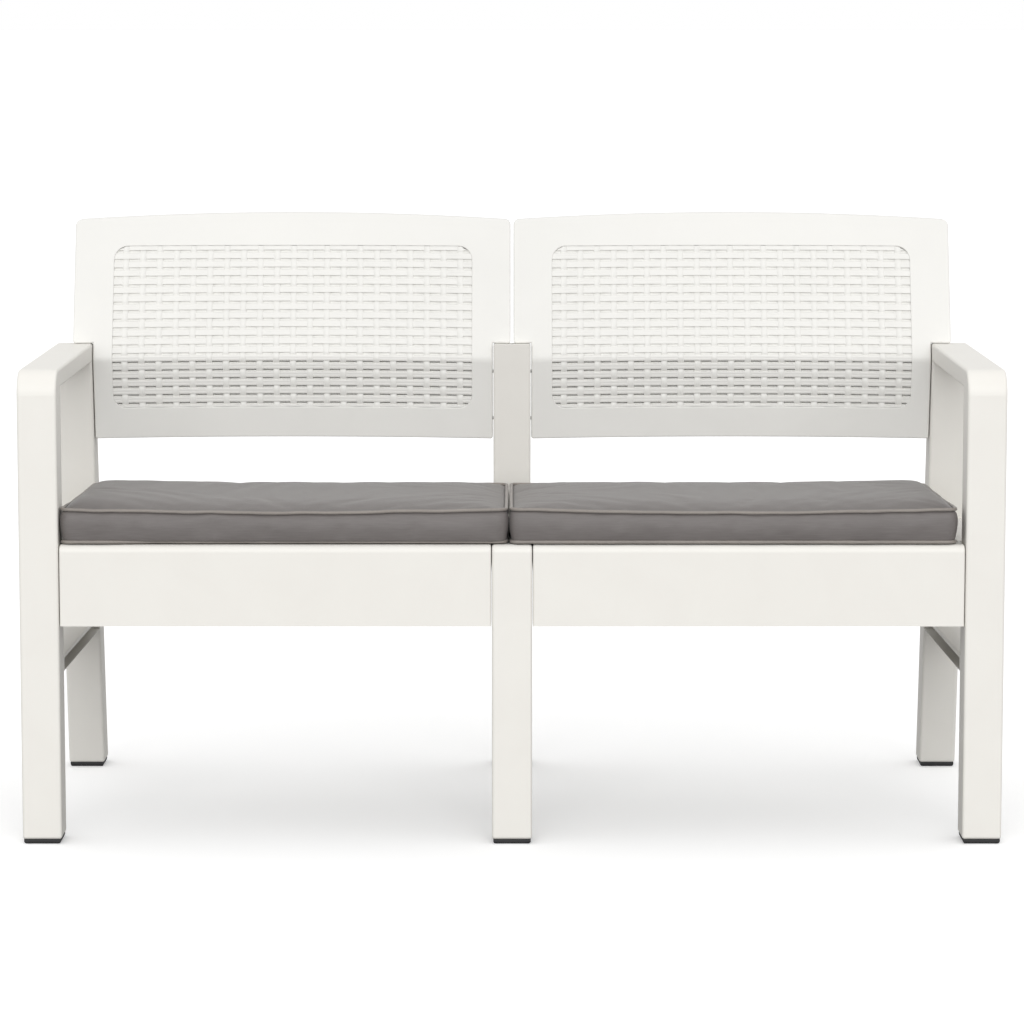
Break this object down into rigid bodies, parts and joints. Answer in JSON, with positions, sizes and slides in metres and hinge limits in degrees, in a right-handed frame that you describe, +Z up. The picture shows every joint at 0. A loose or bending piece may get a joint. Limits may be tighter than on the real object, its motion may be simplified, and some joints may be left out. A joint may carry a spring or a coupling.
{
  "type": "garden bench",
  "caption": "Two-seat moulded garden bench with arms, raked rear legs, woven-look back panels and loose piped seat cushions.",
  "frame": {"origin": "on the floor at the centre of the bench's footprint", "axes": "+X to the right as seen from the front, along the seats; the front faces -Y; +Z up"},
  "size_m": [1.2, 0.5693, 0.75],
  "materials": {
    "frame_plastic": "fine moulded grain, satin white polypropylene",
    "seat_plastic": "fine moulded grain, satin white polypropylene",
    "back_plastic": "fine moulded grain with a woven relief, satin white polypropylene",
    "foot_rubber": "matt black moulded",
    "screw_steel": "zinc plated",
    "cushion_fabric": "closely woven grey polyester, slightly satin",
    "welt_fabric": "bias-cut grey polyester over cord",
    "cushion_foam": "open-cell foam",
    "zip_tape": "woven tape with nylon coil",
    "slider_metal": "painted die-cast slider"
  },
  "bodies": {
    "bench": {"back_screws": "screw_steel", "centre_frame": "frame_plastic", "centre_front_foot_pad": "foot_rubber", "centre_rear_foot_pad": "foot_rubber", "left_back_panel": "back_plastic", "left_front_foot_pad": "foot_rubber", "left_rear_foot_pad": "foot_rubber", "left_seat_panel": "seat_plastic", "left_side_frame": "frame_plastic", "right_back_panel": "back_plastic", "right_front_foot_pad": "foot_rubber", "right_rear_foot_pad": "foot_rubber", "right_seat_panel": "seat_plastic", "right_side_frame": "frame_plastic", "seat_screws": "screw_steel"},
    "left_cushion": {"left_cushion_cover": "cushion_fabric", "left_cushion_foam": "cushion_foam", "left_cushion_welts": "welt_fabric", "left_cushion_zip": "zip_tape", "left_cushion_zip_slider": "slider_metal"},
    "right_cushion": {"right_cushion_cover": "cushion_fabric", "right_cushion_foam": "cushion_foam", "right_cushion_welts": "welt_fabric", "right_cushion_zip": "zip_tape", "right_cushion_zip_slider": "slider_metal"}
  },
  "joints": [
    {"name": "left_cushion_lift", "type": "slide", "parent": "bench", "child": "left_cushion", "axis": [0, 0, 1], "range_m": [0, 0.3]},
    {"name": "right_cushion_lift", "type": "slide", "parent": "bench", "child": "right_cushion", "axis": [0, 0, 1], "range_m": [0, 0.3]}
  ]
}
